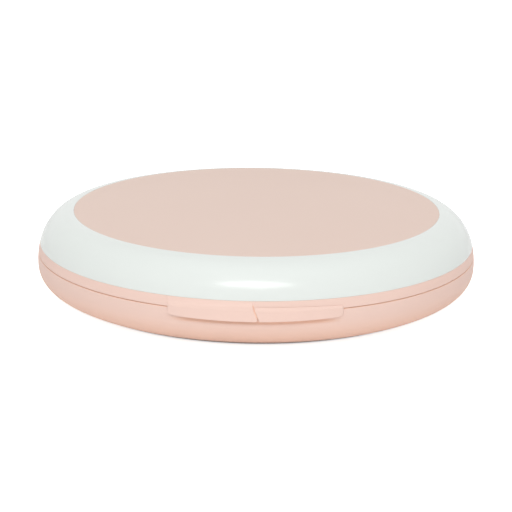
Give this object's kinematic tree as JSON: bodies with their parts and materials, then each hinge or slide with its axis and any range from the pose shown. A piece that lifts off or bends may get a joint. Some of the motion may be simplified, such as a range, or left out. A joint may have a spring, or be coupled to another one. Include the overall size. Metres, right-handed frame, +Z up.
{
  "type": "contact lens case",
  "caption": "Round clamshell travel case for contact lenses: hinged lid with a mirror, tray with a screw-cap lens case, soft-tipped tweezers and a suction lens lifter.",
  "frame": {"origin": "centre of the flat underside, on the table", "axes": "+Z up through the lid; -Y to the thumb tabs at the front; +Y to the hinge at the back; +X to the right"},
  "size_m": [0.112, 0.1166, 0.0204],
  "materials": {
    "blush_satin": "satin moulded plastic, blush pink",
    "blush_disc": "fine matt plastic, pale blush pink",
    "white_gloss": "glossy moulded plastic, cool white",
    "white_satin": "satin moulded plastic, warm white",
    "mirror_silver": "silvered glass",
    "foam_grey": "thin adhesive foam",
    "steel": "brushed stainless steel",
    "silicone": "soft matt silicone"
  },
  "bodies": {
    "base": {"base_shell": "blush_satin", "hinge_pin": "steel", "tray": "white_satin", "lens_case_body": "white_gloss", "lifter_stick": "blush_satin", "lifter_cup": "silicone"},
    "lid": {"lid_frame": "blush_satin", "lid_cover_ring": "white_gloss", "lid_top_plate": "blush_disc", "mirror_pad": "foam_grey", "mirror": "mirror_silver"},
    "left_seal": {"left_cap_seal": "silicone"},
    "left_cap": {"left_cap": "blush_satin"},
    "right_seal": {"right_cap_seal": "silicone"},
    "right_cap": {"right_cap": "blush_satin"},
    "tweezer_front": {"tweezer_blade_front": "steel", "tweezer_tip_front": "silicone"},
    "tweezer_back": {"tweezer_blade_back": "steel", "tweezer_tip_back": "silicone"}
  },
  "joints": [
    {"name": "lid_hinge", "type": "hinge", "parent": "base", "child": "lid", "pos_m": [0, 0.057, 0.0086], "axis": [-1, 0, 0], "range_deg": [0, 118]},
    {"name": "left_cap_rise", "type": "slide", "parent": "base", "child": "left_seal", "axis": [0, 0, 1], "range_m": [0, 0.001]},
    {"name": "left_cap_turn", "type": "hinge", "parent": "left_seal", "child": "left_cap", "pos_m": [-0.0165, -0.012, 0.0065], "axis": [0, 0, 1], "range_deg": [0, 90]},
    {"name": "right_cap_rise", "type": "slide", "parent": "base", "child": "right_seal", "axis": [0, 0, 1], "range_m": [0, 0.001]},
    {"name": "right_cap_turn", "type": "hinge", "parent": "right_seal", "child": "right_cap", "pos_m": [0.0165, -0.012, 0.0065], "axis": [0, 0, 1], "range_deg": [0, 90]},
    {"name": "tweezer_front_squeeze", "type": "hinge", "parent": "base", "child": "tweezer_front", "pos_m": [-0.025, 0.0165, 0.0054], "axis": [0, 0, 1], "range_deg": [0, 4], "stiffness_Nm_per_rad": 0.15},
    {"name": "tweezer_back_squeeze", "type": "hinge", "parent": "base", "child": "tweezer_back", "pos_m": [-0.025, 0.0165, 0.0054], "axis": [0, 0, 1], "range_deg": [-4, 0], "stiffness_Nm_per_rad": 0.15}
  ],
  "couplings": [
    {"joint": "left_cap_rise", "follows": "left_cap_turn", "m_per_rad": 0.0006366},
    {"joint": "right_cap_rise", "follows": "right_cap_turn", "m_per_rad": 0.0006366},
    {"joint": "tweezer_back_squeeze", "follows": "tweezer_front_squeeze", "ratio": -1}
  ]
}
